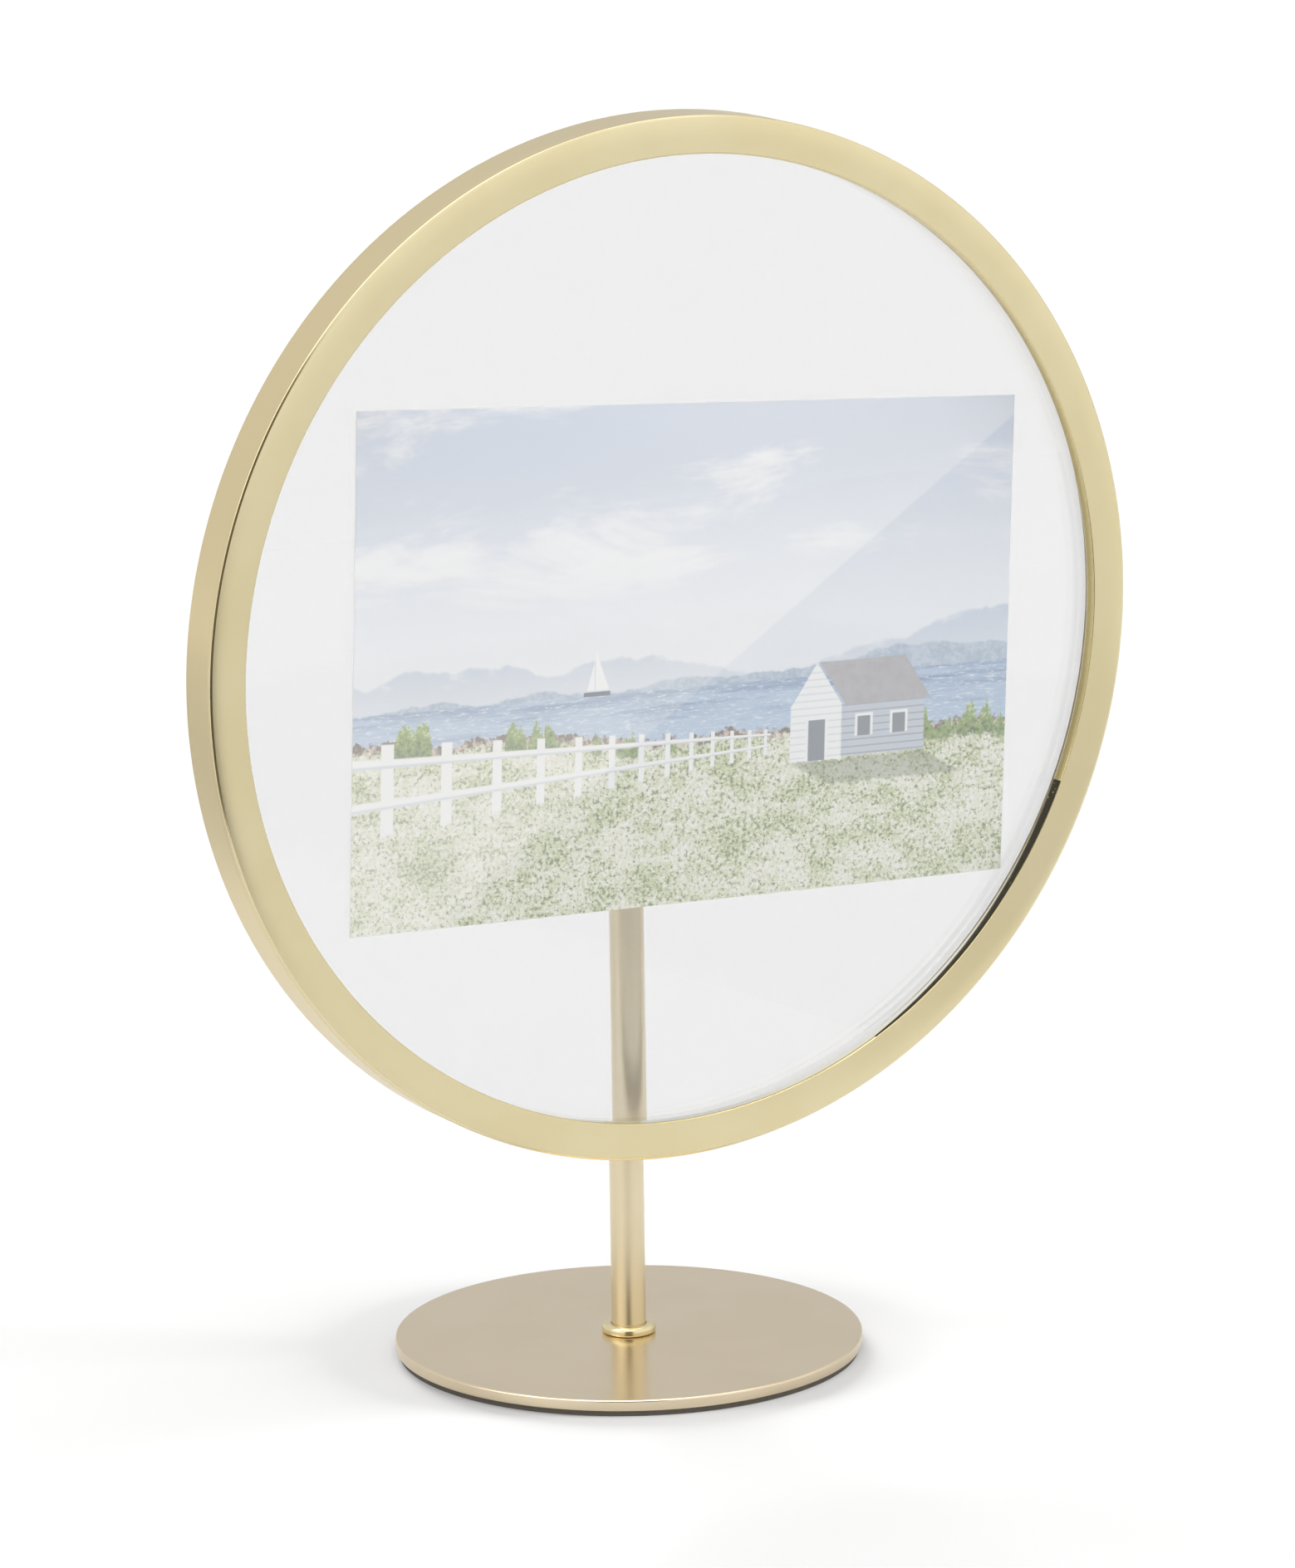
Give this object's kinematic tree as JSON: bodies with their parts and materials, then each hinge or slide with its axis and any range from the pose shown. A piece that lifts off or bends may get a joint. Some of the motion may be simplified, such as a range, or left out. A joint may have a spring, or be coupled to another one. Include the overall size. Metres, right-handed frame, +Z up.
{
  "type": "round photo frame",
  "caption": "Round photo frame on a stand: glass panes in a thin metal ring hold a print, carried by a bent pole on a disc base; the ring front pulls off.",
  "frame": {"origin": "on the table, at the axis of the upright pole, under the middle of the base", "axes": "+Z up the pole, the ring's face looks along -Y, +X to the right of someone who faces the print"},
  "size_m": [0.212, 0.0966, 0.2591],
  "materials": {
    "satin_brass": "satin brass plating with a fine even grain",
    "base_brass": "satin brass plating, a little duller and pinker",
    "clear_glass": "clear float glass with seamed edges",
    "photo_paper": null,
    "black_foam": "closed-cell foam, matte",
    "plain_steel": "zinc-plated steel",
    "nickel_plate": "nickel plate",
    "hoop_plastic": "moulded plastic in a gold tone",
    "clear_adhesive": "clear acrylic bonding pad"
  },
  "bodies": {
    "stand": {"base_pad": "black_foam", "base_plate": "base_brass", "base_screw": "plain_steel", "foot_plug": "plain_steel", "pole_collar": "satin_brass", "pole": "satin_brass", "mount_disc": "satin_brass", "bond_pad": "clear_adhesive", "back_pane": "clear_glass", "magnet_hoop": "hoop_plastic", "hoop_magnets": "nickel_plate", "photo_print": "photo_paper"},
    "ring_front": {"front_ring": "satin_brass", "ring_gasket": "black_foam", "front_pane": "clear_glass", "keeper_ring": "plain_steel"}
  },
  "joints": [
    {"name": "front_release", "type": "slide", "parent": "stand", "child": "ring_front", "axis": [0, -1, 0], "range_m": [0, 0.04]}
  ]
}
